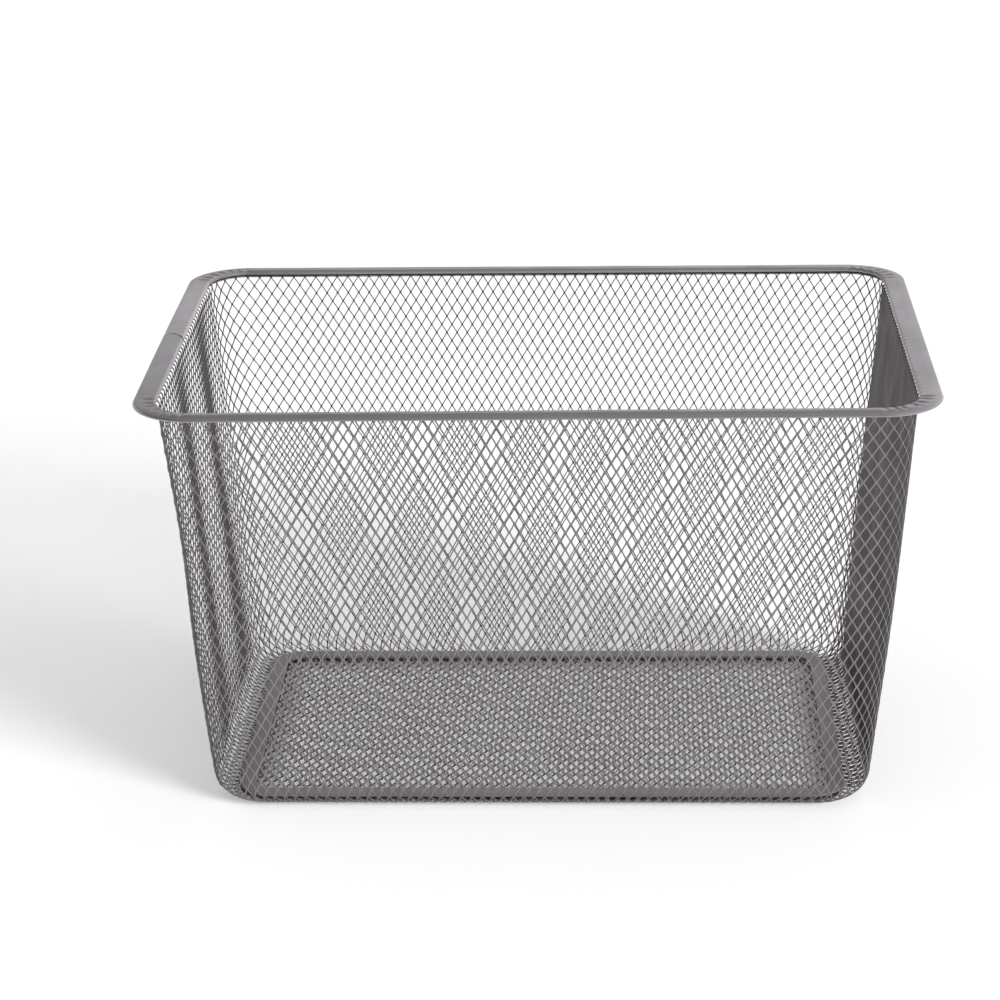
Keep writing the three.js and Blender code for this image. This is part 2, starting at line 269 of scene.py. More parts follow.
def edgeGroup():
    tree = bpy.data.node_groups.new("rubbedEdge", "ShaderNodeTree")
    given = groupSockets(tree, {
        "Vector": ("Vector", None), "Color": ("Color", (0.4, 0.4, 0.4, 1)),
        "Rub Color": ("Color", (0.6, 0.59, 0.6, 1)), "Amount": ("Float", 0.4),
    }, {"Color": "Color"})
    edge = mapRange(tree, addNode(tree, "ShaderNodeNewGeometry").outputs["Pointiness"], 0.51, 0.56)
    patch = addNode(tree, "ShaderNodeTexNoise", {"Vector": given["Vector"], "Scale": 90.0, "Detail": 3.0})
    mask = calc(tree, "MULTIPLY", edge, patch.outputs["Fac"], given["Amount"])
    addNode(tree, "NodeGroupOutput", {"Color": mixColors(tree, mask, given["Color"], given["Rub Color"])})
    return tree


steel = steelGroup()
edges = edgeGroup()

wireGrain = {"mottle": 45, "grain": 2600, "roughness": 0.48, "spread": 0.14, "bump": 0.04}
# The wires' finishes are lit and shaded copies of one paint, painted light and shade: lighter on the front,
# its corners and the floor, darker on the sides, the back and its corners.
finishes = {
    "rimPaint": {"cool": (0.40, 0.375, 0.405), "warm": (0.375, 0.352, 0.372), "mottle": 22, "grain": 1500,
                 "roughness": 0.36, "spread": 0.08, "metallic": 0.9, "bump": 0.02, "rub": 0.35,
                 "shade": "paintedSheen"},
    "frontPaint": {"cool": (0.30, 0.281, 0.296), "warm": (0.294, 0.27, 0.264), "metallic": 0.85,
                   "under": 0.5, **wireGrain},
    "wirePaint": {"cool": (0.16, 0.149, 0.157), "warm": (0.156, 0.143, 0.139), "metallic": 0.85,
                  "under": 0.45, **wireGrain},
    "litFloorWirePaint": {"cool": (0.5, 0.472, 0.5), "warm": (0.478, 0.445, 0.45), "metallic": 0.4,
                   "under": 0.15, "cut": 0.06, **wireGrain},
    "stripPaint": {"cool": (0.33, 0.31, 0.325), "warm": (0.313, 0.292, 0.3), "mottle": 30, "grain": 1800,
                   "roughness": 0.45, "spread": 0.1, "metallic": 0.8, "bump": 0.03, "rub": 0.3},
}
# Ranges of a face's direction over which its colour darkens as painted shade: looking down, and looking to
# the right.
shadeRanges = {"downFrom": 0.1, "downTo": -0.55, "rightFrom": 0.3, "rightTo": 0.5}
bumpHeight = 0.5


def paintedSteel(name):
    look = finishes[name]
    material = bpy.data.materials.new(name)
    material.use_nodes = True
    tree = material.node_tree
    shader = tree.nodes["Principled BSDF"]
    place = addNode(tree, "ShaderNodeTexCoord").outputs["Object"]
    surface = addNode(tree, "ShaderNodeGroup", {
        "Vector": place, "Cool Color": (*look["cool"], 1), "Warm Color": (*look["warm"], 1),
        "Mottle Scale": look["mottle"], "Grain Scale": look["grain"], "Roughness": look["roughness"],
        "Roughness Spread": look["spread"]}, node_tree=steel)
    color = surface.outputs["Color"]
    if "rub" in look:
        color = addNode(tree, "ShaderNodeGroup", {"Vector": place, "Color": color, "Amount": look["rub"]},
                        node_tree=edges).outputs["Color"]
    if "under" in look:
        # Painted shade: the wires' colour is darker on faces that look down
        # and, on the floor, on those that look right.
        facing = splitVector(tree, addNode(tree, "ShaderNodeNewGeometry").outputs["True Normal"])
        share = mapRange(tree, facing["Z"], shadeRanges["downTo"], shadeRanges["downFrom"], look["under"])
        if "cut" in look:
            edge = mapRange(tree, facing["X"], shadeRanges["rightFrom"], shadeRanges["rightTo"],
                            1.0, look["cut"])
            share = calc(tree, "MULTIPLY", share, edge)
        color = calcVector(tree, "SCALE", color, factor=share)
    # Painted sheen: the rim's colour is scaled by a point attribute, lighter behind the lap.
    if "shade" in look:
        shade = addNode(tree, "ShaderNodeAttribute", attribute_name=look["shade"]).outputs["Fac"]
        color = calcVector(tree, "SCALE", color, factor=shade)
    bump = addNode(tree, "ShaderNodeBump", {"Strength": look["bump"], "Distance": bumpHeight * mm,
                                            "Height": surface.outputs["Height"]})
    for socket, source in (("Base Color", color), ("Roughness", surface.outputs["Roughness"]),
                           ("Normal", bump.outputs["Normal"])):
        tree.links.new(source, shader.inputs[socket])
    shader.inputs["Metallic"].default_value = look["metallic"]
    return material


rimPaint, frontPaint, wirePaint, litFloorWirePaint, stripPaint = (paintedSteel(name) for name in finishes)
print("finishes:", ", ".join(finishes))


# Walls' guide surface: the path in section, the columns round the basket, and the waves of the panels

topLevel = rimHigh.z - rim["height"] / 2 - wall["flareDrop"]
leanAngle = math.atan2(wall["lean"], topLevel - wall["footLevel"] - wall["footRadius"])
arcTop = wall["footLevel"] + wall["footRadius"] * (1 - math.sin(leanAngle))
flareLength = math.hypot(wall["flareReach"], wall["flareDrop"])
slopeLength = (topLevel - arcTop) / math.cos(leanAngle)
arcStart = flareLength + slopeLength
arcEnd = arcStart + wall["footRadius"] * (math.pi / 2 - leanAngle)
edgeLength = stripInset.y - wall["footRadius"] * math.cos(leanAngle) + wall["seat"]
pathLength = arcEnd + edgeLength


def wallPath(along):
    # Share of the way down the lean, reach outside it, level, and how far in past the foot's bend.
    if along < flareLength:
        left = 1 - along / flareLength
        return 0.0, wall["flareReach"] * left, topLevel + wall["flareDrop"] * left, 0.0
    if along < arcStart:
        down = (along - flareLength) / slopeLength
        return down, 0.0, topLevel + (arcTop - topLevel) * down, 0.0
    turned = leanAngle + min((along - arcStart) / wall["footRadius"], math.pi / 2 - leanAngle)
    outside = wall["footRadius"] * (math.cos(turned) - math.cos(leanAngle))
    level = wall["footLevel"] + wall["footRadius"] * (1 - math.sin(turned))
    return 1.0, outside, level, max(along - arcEnd, 0.0)


def wallRing(along, samples=24):
    down, outside, level, pastArc = wallPath(along)
    ring = []
    for quarter, isCorner in stretches:
        for step in range(samples):
            share = step / samples
            top, outward = outlinePoint(wallTop, quarter, isCorner, share)
            foot, _ = outlinePoint(wallFoot, quarter, isCorner, share)
            ends = (stripInset.y, stripInset.x) if quarter % 2 == 0 else (stripInset.x, stripInset.y)
            inset = ends[0] + (ends[1] - ends[0]) * share if isCorner else ends[0]
            reach = outside - pastArc * (1 + (inset - stripInset.y) / edgeLength)
            place = top.lerp(foot, down) + outward * reach
            ring.append(Vector((place.x, place.y, level)))
    return down, ring


columnCounts = wall["columns"]
quarterColumns = columnCounts["front"] / 2 + columnCounts["corner"] + columnCounts["side"] / 2
allColumns = round(4 * quarterColumns)
cornerColumn = (columnCounts["front"] + columnCounts["corner"]) / 2


def columnShare(column, squeeze):
    # Share of a quarter's length that lies before a column, the columns being closer round the corner.
    width = wall["cornerSqueezeWidth"]

    def run(at):
        bell = math.erf((at - cornerColumn) / width) + math.erf(cornerColumn / width)
        return at - squeeze * width * math.sqrt(math.pi) / 2 * bell

    return run(column) / run(quarterColumns)


def ringPlace(ring, column, squeeze):
    # Columns count from the middle of the front, counter-clockwise, and each half mirrors its neighbour.
    lengths = [0.0]
    for here, after in zip(ring, ring[1:] + ring[:1]):
        lengths.append(lengths[-1] + (after - here).length)
    total = lengths[-1]
    middle = lengths[len(ring) // 16]
    turn, rest = divmod(column, 2 * quarterColumns)
    mirrored = rest > quarterColumns
    inQuarter = 2 * quarterColumns - rest if mirrored else rest
    share = columnShare(inQuarter, squeeze)
    at = (turn * 2 + (2 - share if mirrored else share)) * total / 4
    at = (at + middle) % total
    index = min(bisect.bisect_right(lengths, at) - 1, len(ring) - 1)
    after = ring[(index + 1) % len(ring)]
    return ring[index].lerp(after, (at - lengths[index]) / (lengths[index + 1] - lengths[index]))


footSqueeze = ((quarterColumns - wall["quarterAtFoot"] / wall["columnPitchAtFoot"])
               / (wall["cornerSqueezeWidth"] * math.sqrt(math.pi)))

panelWaves = {
    "left": {"depth": 1.8, "length": 94, "shift": -38, "dent": 2.2, "dentLevel": 168, "dentHeight": 62,
             "dentPlace": -105, "dentWidth": 75},
    "right": {"depth": 0.5, "length": 120, "shift": 20, "dent": -1.5, "dentLevel": 110, "dentHeight": 85,
              "dentPlace": -105, "dentWidth": 70},
    "all": {"depth": 0.35, "size": 55, "low": 8, "height": 228, "ease": 0.6,
            "sideFrom": 168, "sideEase": 12, "waveEnd": 118, "waveEase": 25},
}


def panelWave(place):
    # Outward shift of the walls, fading out at the rim and the foot.
    whole = panelWaves["all"]
    ease = math.sin(math.pi * clamp((place.z - whole["low"]) / whole["height"])) ** whole["ease"]
    shift = whole["depth"] * noise.noise(place / whole["size"])
    side = panelWaves["left"] if place.x < 0 else panelWaves["right"]
    onSide = clamp((abs(place.x) - whole["sideFrom"]) / whole["sideEase"])
    onWave = onSide * clamp((whole["waveEnd"] - abs(place.y)) / whole["waveEase"])
    shift += onWave * side["depth"] * math.sin(math.tau * (place.y - side["shift"]) / side["length"])
    shift -= onSide * side["dent"] * math.exp(-((place.z - side["dentLevel"]) / side["dentHeight"]) ** 2
                                              - ((place.y - side["dentPlace"]) / side["dentWidth"]) ** 2)
    return shift * ease


def gridDirections(grid, r, c):
    alongRow = grid[r][min(c + 1, len(grid[r]) - 1)] - grid[r][max(c - 1, 0)]
    downRow = grid[min(r + 1, len(grid) - 1)][c] - grid[max(r - 1, 0)][c]
    return alongRow.normalized(), downRow.cross(alongRow).normalized()


def guideSurface(name, grid, rowShares, rowShifts):
    # A grid of rows of points, each row running across, with its directions, its pattern map and, for each
    # column, how far its diamonds are shifted along it.
    rows, columns = len(grid), len(grid[0])
    faces = [(r * columns + c, (r + 1) * columns + c, (r + 1) * columns + c + 1, r * columns + c + 1)
             for r in range(rows - 1) for c in range(columns - 1)]
    guide = meshPiece(name, [point for row in grid for point in row], faces)
    directions = [gridDirections(grid, r, c) for r in range(rows) for c in range(columns)]
    for number, label in enumerate(("across", "outward")):
        attribute = guide.data.attributes.new(label, "FLOAT_VECTOR", "POINT")
        attribute.data.foreach_set("vector", [x for pair in directions for x in pair[number]])
    attribute = guide.data.attributes.new("rowShift", "FLOAT", "POINT")
    attribute.data.foreach_set("value", [shift * mm for _ in range(rows) for shift in rowShifts])
    layer = guide.data.uv_layers.new(name="pattern")
    for loop in guide.data.loops:
        r, c = divmod(loop.vertex_index, columns)
        layer.data[loop.index].uv = (c / (columns - 1), rowShares[r])
    return guide


# The sheet was not laid quite true: its columns and rows wander, as shares of a column and of a row.
# Terms: at the middle, with x, with x squared, with x cubed, with depth below the rim, with x times depth.
wander = {
    "span": 150, "middle": 120, "depth": 100, "reach": 1.12,
    "frontColumns": (-0.59, 0.18, -0.10, -0.15, 0.08, -0.55), "frontRows": (0.06, 0.19, 0.28, 0.12, 0, 0),
    "backColumns": (0.33, -0.07, 0.14, -0.29, 0.61, -0.03), "backRows": (-0.02, 0.31, 0.36, 0.07, 0, 0),
}


def wanderAt(name, x, along):
    x = clamp(x / wander["span"], -wander["reach"], wander["reach"])
    down = (along - wander["middle"]) / wander["depth"]
    return sum(term * part for term, part in zip(wander[name], (1, x, x * x, x ** 3, down, x * down)))


def wanderRound(kind, column, along):
    # On the ends of the front and back the terms hold, and the sides go evenly from one to the other.
    half = columnCounts["front"] / 2
    count = column % allColumns
    if count > allColumns / 2:
        count -= allColumns
    side = 1 if count > 0 else -1
    count = abs(count)
    pitch = (halfSize(wallTop).x - wall["lean"] * along / pathLength) / (half + columnCounts["corner"] / 2)
    frontValue = wanderAt("front" + kind, side * min(count, half) * pitch, along)
    backValue = wanderAt("back" + kind, side * min(allColumns / 2 - count, half) * pitch, along)
    if kind == "Columns":
        backValue = -backValue
    share = clamp((count - half) / (allColumns / 2 - 2 * half))
    return frontValue + (backValue - frontValue) * share


guideRows = {"flare": 3, "slope": 56, "bend": 10, "edge": 3, "floor": 24}
guideMargin = 2
firstGuideColumn = -columnCounts["front"] // 2 - guideMargin
wallColumns = range(firstGuideColumn, firstGuideColumn + allColumns + 2 * guideMargin + 1)
pathRows = []
for part, start, length in (("flare", 0, flareLength), ("slope", flareLength, slopeLength),
                            ("bend", arcStart, arcEnd - arcStart), ("edge", arcEnd, edgeLength)):
    pathRows += [start + length * i / guideRows[part] for i in range(guideRows[part])]
pathRows.append(pathLength)


def wallGrid():
    grid = []
    for along in pathRows:
        down, ring = wallRing(along)
        squeeze = footSqueeze * down - wall["cornerStretchAtRim"] * (1 - down)
        grid.append([ringPlace(ring, column - wanderRound("Columns", column, along), squeeze)
                     for column in wallColumns])
    return [[point + gridDirections(grid, r, c)[1] * panelWave(point) for c, point in enumerate(row)]
            for r, row in enumerate(grid)]


wallShifts = [wall["rowHeight"] * wanderRound("Rows", column, wander["middle"]) for column in wallColumns]
wallGuide = guideSurface("wallGuide", wallGrid(), [along / pathLength for along in pathRows], wallShifts)

# The floor's sheet lies a little askew: its rows drop to the right and its columns lean.
floorSheet = {"columnPitch": 5.7, "rowHeight": 10.12, "sag": 0.25, "waveSize": 70, "waveSeed": 3,
              "rowDrop": 0.047, "columnLean": 0.0097, "strandWidth": 1.5, "sheet": 0.7, "tilt": -40}
floorWidth = floorHigh.x - floorLow.x
floorDepth = floorHigh.y - floorLow.y
floorColumns = round(floorWidth / floorSheet["columnPitch"])
floorShares = [row / guideRows["floor"] for row in range(guideRows["floor"] + 1)]
floorAcross = [floorWidth * ((c - guideMargin) / floorColumns - 0.5)
               for c in range(floorColumns + 2 * guideMargin + 1)]


def floorGrid():
    grid = []
    level = (floorLow.z + floorHigh.z) / 2
    for r in range(guideRows["floor"] + 1):
        y = floorHigh.y - floorDepth * r / guideRows["floor"]
        row = []
        for across in floorAcross:
            x = across + floorSheet["columnLean"] * y
            wave = noise.noise(Vector((x, y, floorSheet["waveSeed"])) / floorSheet["waveSize"])
            row.append(Vector((x, y, level + wave * floorSheet["sag"])))
        grid.append(row)
    return grid


floorShifts = [floorSheet["rowDrop"] * across for across in floorAcross]
floorGuide = guideSurface("floorGuide", floorGrid(), floorShares, floorShifts)
print("guides: wall", len(wallGuide.data.vertices), "floor", len(floorGuide.data.vertices))


# Expanded metal: zigzag wires side by side, bonded in turn to the wire on their left and on their right

lattice = {"front": {"strandWidth": 0.84, "sheet": 0.42, "tilt": -6},
           "side": {"strandWidth": 0.92, "sheet": 0.5, "tilt": 18},
           "corner": {"strandWidth": 0.64, "sheet": 0.42, "tilt": 0},
           "back": {"strandWidth": 0.6, "sheet": 0.42, "tilt": -20},
           "bondShare": 0.1, "unevenness": 0.12, "unevenSize": 9, "stepsPerHalfRow": 3, "endStep": 0.02,
           "sharpFrom": 55, "mostSteps": 400, "wallSeed": 1, "floorSeed": 7}


def latticeTree():
    tree = bpy.data.node_groups.new("expandedMetal", "GeometryNodeTree")
    given = groupSockets(tree, {
        "Guide": ("Object", None), "Wires": ("Int", 10), "First Column": ("Float", 0.0),
        "Guide Columns": ("Float", 10.0), "First Step": ("Int", 0), "Steps": ("Int", 30),
        "Half Row": ("Float", 0.005), "Path Length": ("Float", 0.25), "Strand Width": ("Float", 0.0007),
        "Sheet Thickness": ("Float", 0.0005), "Tilt": ("Float", 0.5), "Bond Share": ("Float", 0.2),
        "Unevenness": ("Float", 0.0001), "Uneven Size": ("Float", 0.01), "Seed": ("Float", 1.0),
        "Finish": ("Material", None),
    }, {"Geometry": "Geometry"})

    add, subtract, multiply, divide = arithmetic(tree)
    made = functools.partial(newOutput, tree)

    def stored(label, kind="FLOAT_VECTOR"):
        return made("GeometryNodeInputNamedAttribute", {"Name": label}, data_type=kind)

    def mapPlace(x, y):
        return made("ShaderNodeCombineXYZ", {"X": x, "Y": y})

    # One straight wire of square section, copied for every wire and numbered
    blank = made("GeometryNodeMeshCube", {"Size": (1, 1, 1), "Vertices X": 2, "Vertices Y": 2,
                                          "Vertices Z": add(given["Steps"], 1)})
    spots = made("GeometryNodeMeshLine", {"Count": given["Wires"], "Offset": (0, 0, 0)})
    copies = made("GeometryNodeInstanceOnPoints", {"Points": spots, "Instance": blank})
    numbered = made("GeometryNodeStoreNamedAttribute",
                    {"Geometry": copies, "Name": "wire", "Value": made("GeometryNodeInputIndex")},
                    data_type="INT", domain="INSTANCE")
    wires = made("GeometryNodeRealizeInstances", {"Geometry": numbered})
    wire = stored("wire", "INT")
    here = made("GeometryNodeInputPosition")
    local = splitVector(tree, here)

    # Half rows along the wire: each has a bond's two ends and the middle of a strand
    step = calc(tree, "ROUND", multiply(add(local["Z"], 0.5), given["Steps"]))
    step = add(step, given["First Step"])
    spans = lattice["stepsPerHalfRow"]
    row = calc(tree, "FLOOR", divide(step, spans))
    part = subtract(step, multiply(row, spans))
    bond = given["Bond Share"]
    inBond = multiply(bond, subtract(multiply(part, 2), 1))
    toMiddle = subtract(0.5, multiply(bond, 3))
    isMiddle = calc(tree, "GREATER_THAN", part, 1.5)
    inRow = add(inBond, multiply(isMiddle, toMiddle))
    halfRows = add(row, inRow)

    guide = addNode(tree, "GeometryNodeObjectInfo", {"Object": given["Guide"]}).outputs["Geometry"]
    pattern = stored("pattern")

    def onGuide(value, uv, kind="FLOAT_VECTOR"):
        inputs = {"Mesh": guide, "Value": value, "Source UV Map": pattern, "Sample UV": uv}
        return made("GeometryNodeSampleUVSurface", inputs, data_type=kind)

    # Each wire slides along its own column, and what passes an end of the sheet gathers there
    middleColumn = add(multiply(add(wire, 0.5), 0.5), given["First Column"])
    middle = mapPlace(divide(middleColumn, given["Guide Columns"]), 0.5)
    slide = onGuide(stored("rowShift", "FLOAT"), middle, "FLOAT")
    along = add(multiply(halfRows, given["Half Row"]), slide)
    fromFirst = subtract(step, given["First Step"])
    toLast = subtract(given["Steps"], fromFirst)
    endStep = lattice["endStep"] * mm
    lowest = multiply(fromFirst, endStep)
    highest = subtract(given["Path Length"], multiply(toLast, endStep))
    along = calc(tree, "MINIMUM", calc(tree, "MAXIMUM", along, lowest), highest)
    halfRows = divide(subtract(along, slide), given["Half Row"])

    # Zigzag: 0 at the bond on the left, 1 at the bond on the right
    turn = calc(tree, "FLOORED_MODULO", add(halfRows, wire), 2.0)
    wave = subtract(1.0, calc(tree, "ABSOLUTE", subtract(turn, 1.0)))
    zigzag = mapRange(tree, wave, bond, subtract(1.0, bond))
    column = add(multiply(add(wire, zigzag), 0.5), given["First Column"])

    # The same place on the guide surface
    uv = mapPlace(divide(column, given["Guide Columns"]), divide(along, given["Path Length"]))
    place = onGuide(here, uv)
    across, outward = (calcVector(tree, "NORMALIZE", onGuide(stored(label), uv))
                       for label in ("across", "outward"))

    # The section lies tilted to the sheet, and a bond is two sections wide
    sideways = multiply(given["Strand Width"], add(subtract(0.5, zigzag), local["X"]))
    through = multiply(given["Sheet Thickness"], local["Y"])
    cosine, sine = calc(tree, "COSINE", given["Tilt"]), calc(tree, "SINE", given["Tilt"])
    lateral = add(multiply(sideways, cosine), multiply(through, sine))
    height = subtract(multiply(through, cosine), multiply(sideways, sine))
    uneven = addNode(tree, "ShaderNodeTexNoise", {
        "Vector": place, "W": given["Seed"], "Detail": 1.0, "Scale": divide(1.0, given["Uneven Size"])},
        noise_dimensions="4D")
    drift = calcVector(tree, "SUBTRACT", uneven.outputs["Color"], (0.5, 0.5, 0.5))
    moved = place
    for direction, reach in ((across, lateral), (outward, height), (drift, given["Unevenness"])):
        moved = calcVector(tree, "ADD", moved, calcVector(tree, "SCALE", direction, factor=reach))
    shaped = made("GeometryNodeSetPosition", {"Geometry": wires, "Position": moved})
    plain = made("GeometryNodeRemoveAttribute", {"Geometry": shaped, "Name": "wire"})
    real = made("GeometryNodeRealizeInstances", {"Geometry": plain})
    done = made("GeometryNodeSetMaterial", {"Geometry": real, "Material": given["Finish"]})
    tree.links.new(done, tree.nodes.new("NodeGroupOutput").inputs[0])
    return tree


expandedMetal = latticeTree()


def stepPlace(step, halfRow, slide):
    row, part = divmod(step, lattice["stepsPerHalfRow"])
    share = lattice["bondShare"]
    return (row + (-share, share, 0.5)[part]) * halfRow + slide


def stretchOfLattice(name, guide, firstColumn, columns, sheet, seed, paint):
    # One piece of wires over some of a guide's columns, long enough for the column that slides the most.
    halfRow, length = sheet["rowHeight"] / 2, sheet["length"]
    steps = range(-lattice["mostSteps"], lattice["mostSteps"])
    slides = sheet["slides"][firstColumn:firstColumn + columns + 1]
    first = max(step for step in steps if stepPlace(step, halfRow, max(slides)) <= 0)
    last = min(step for step in steps if stepPlace(step, halfRow, min(slides)) >= length)
    host = linked(name + "Host", bpy.data.meshes.new(name + "Host"))
    modifier = host.modifiers.new("expandedMetal", "NODES")
    modifier.node_group = expandedMetal
    values = {
        "Guide": guide, "Wires": 2 * columns, "First Column": float(firstColumn),
        "Guide Columns": float(len(sheet["slides"]) - 1), "First Step": first, "Steps": last - first,
        "Half Row": halfRow * mm, "Path Length": length * mm, "Strand Width": sheet["strandWidth"] * mm,
        "Sheet Thickness": sheet["sheet"] * mm, "Tilt": math.radians(sheet["tilt"]),
        "Bond Share": lattice["bondShare"], "Unevenness": lattice["unevenness"] * mm,
        "Uneven Size": lattice["unevenSize"] * mm, "Seed": float(seed), "Finish": paint,
    }
    for socket in expandedMetal.interface.items_tree:
        if socket.in_out == "INPUT" and socket.name in values:
            modifier[socket.identifier] = values[socket.name]
    host.update_tag()
    bpy.context.view_layer.update()
    evaluated = host.evaluated_get(bpy.context.evaluated_depsgraph_get())
    mesh = bpy.data.meshes.new_from_object(evaluated)
    mesh.name = name
    bpy.data.objects.remove(host)
    piece = linked(name, mesh)
    shadeSmooth(piece, lattice["sharpFrom"])
    dress(piece, paint)
    return piece


sections = [
    ("frontWires", "front_mesh", "front"), ("frontRightWires", "front_right_corner_mesh", "corner"),
    ("rightWires", "right_mesh", "side"), ("backRightWires", "back_right_corner_mesh", "corner"),
    ("backWires", "back_mesh", "front"), ("backLeftWires", "back_left_corner_mesh", "corner"),
    ("leftWires", "left_mesh", "side"), ("frontLeftWires", "front_left_corner_mesh", "corner"),
]
column = guideMargin
for name, node, kind in sections:
    sheet = {**lattice["back" if node == "back_mesh" else kind], "rowHeight": wall["rowHeight"],
             "length": pathLength, "slides": wallShifts}
    # Painted light and shade: the front and its corners take the lighter copy of the wires' paint, the rest
    # the darker one.
    paint = frontPaint if node.startswith("front") else wirePaint
    piece = stretchOfLattice(name, wallGuide, column, columnCounts[kind], sheet, lattice["wallSeed"], paint)
    column += columnCounts[kind]
    seat(piece, "mesh", node)
    print("wires:", name, len(piece.data.polygons), "faces")

sheet = {**floorSheet, "length": floorDepth, "slides": floorShifts}
floorWires = stretchOfLattice("floorWires", floorGuide, guideMargin, floorColumns, sheet,
                              lattice["floorSeed"], litFloorWirePaint)
seat(floorWires, "mesh", "floor_mesh")
print("wires: floorWires", len(floorWires.data.polygons), "faces")
for guide in (wallGuide, floorGuide):
    bpy.data.objects.remove(guide)


# Rim: sheet folded over the mesh, as a section carried round the outline

def rimSection(width, crown, shoulder):
    # Outer face from the inner lip over the top and the roll to the lower lip, then the inner face back.
    # The top is flat up to its shoulder and slopes down from there.
    lip, half, sheet = rim["lipRadius"], rim["height"] / 2, rim["sheet"]
    outer, inner = ([(x, -rim["lipDrop"]), (x, -(rim["lipDrop"] + lip) / 2)] for x in (0.0, sheet))
    for i in range(rim["lipSteps"] + 1):
        angle = math.pi - i * math.pi / 2 / rim["lipSteps"]
        for face, radius in ((outer, lip), (inner, lip - sheet)):
            face.append((lip + radius * math.cos(angle), -lip + radius * math.sin(angle)))
    steps = rim["topSteps"]
    for i in range(1, steps):
        x = lip + (width - half - lip) * i / steps
        drop = crown * max(0, (i / steps - shoulder) / (1 - shoulder)) ** rim["crownBend"]
        outer.append((x, -drop))
        if i % 4 == 0:
            inner.append((x, -drop - sheet))
    rollHigh = half - crown / 2
    centreX, centreY = width - half, -crown - rollHigh

    def onRoll(angle, inset):
        return centreX + (half - inset) * math.cos(angle), centreY + (rollHigh - inset) * math.sin(angle)

    for i in range(rim["rollSteps"] + 1):
        angle = math.pi / 2 - i * math.pi / rim["rollSteps"]
        fromHollow = (math.degrees(angle) - rim["hollowAngle"]) / rim["hollowWidth"]
        outer.append(onRoll(angle, rim["hollowDepth"] * math.exp(-fromHollow ** 2)))
        if i % 4 == 0:
            inner.append(onRoll(angle, sheet))
    bottom = -rim["height"]
    bend, low = rim["lowerBend"], rim["lowerLip"]
    for i in range(1, 5):
        outer.append((centreX + (bend - centreX) * i / 4, bottom))
    outer.append((low, bottom - rim["lowerDrop"]))
    inner.append((bend, bottom + sheet))
    inner.append((low, bottom - rim["lowerDrop"] + sheet))
    return outer, inner


# The lap lies on the left run, which goes from the back to the front: the rear end is pressed under the
# front end. Its edge runs askew (share of the way out, place along Y), and stations stand close about it.
lap = {"run": 3, "curve": ((0.0, -4.1), (0.27, 1.6), (0.5, 5.1), (0.74, 5.8), (1.0, 3.8)), "slideSize": 16,
       "slideReach": 60, "close": (-3.1, -2.4, -1.9, -1.4, -0.9, -0.5, -0.25, -0.05, 0.05, 0.25, 0.5, 0.9)}


def rimStations():
    stations = []
    for quarter, isCorner in stretches:
        length = runLength(rimOuter, quarter)
        count = rim["cornerSteps"] if isCorner else round(length / rim["runStep"])
        shares = [i / count for i in range(count)]
        if quarter == lap["run"] and not isCorner:
            shares = sorted(set(shares + [0.5 + offset / length for offset in lap["close"]]))
        stations += [(quarter, isCorner, share) for share in shares]
    return stations


def lapPlace(share):
    for (x0, y0), (x1, y1) in zip(lap["curve"], lap["curve"][1:]):
        if share <= x1:
            return y0 + (y1 - y0) * (max(share, 0) - x0) / (x1 - x0)
    return y1


def rimDip(quarter, isCorner, share, width, x, along):
    # How far the top is pushed down at a place: dents, ripples on the inner half, the corners' pleats.
    across = x / width
    inward = max(0.0, 1 - across / rim["rippleReach"])
    dent = rim["dentDepth"] * (0.5 + noise.noise(Vector((along / rim["dentSize"], 1.3 * across, quarter))))
    phase = math.tau * along / rim["ripplePitch"] - rim["rippleSkew"] * across
    patch = noise.noise(Vector((along / rim["rippleSize"], quarter * 7.3, 0)))
    ripple = (0.5 + 0.5 * math.sin(phase)) ** rim["rippleSharp"]
    ripple *= rim["rippleDepth"] * (0.5 + patch) * inward ** rim["rippleFade"]
    if quarter % 2 == 0 and not isCorner:
        ripple *= rim["rippleOnEnds"]
    pleat = 0.0
    if isCorner:
        stray = rim["pleatStray"] * noise.noise(Vector((share * 5, quarter * 3.1, 4)))
        pleat = max(0.0, math.sin(math.tau * rim["pleats"] * share + stray)) ** rim["pleatSharp"]
        pleat *= rim["pleatDepth"] * max(0.0, 1 - abs(across - rim["pleatPlace"]) / rim["pleatReach"])
        pleat *= 0.5 + 0.5 * min(1, 8 * min(share, 1 - share))
    return max(dent, 0) + max(ripple, 0) + pleat


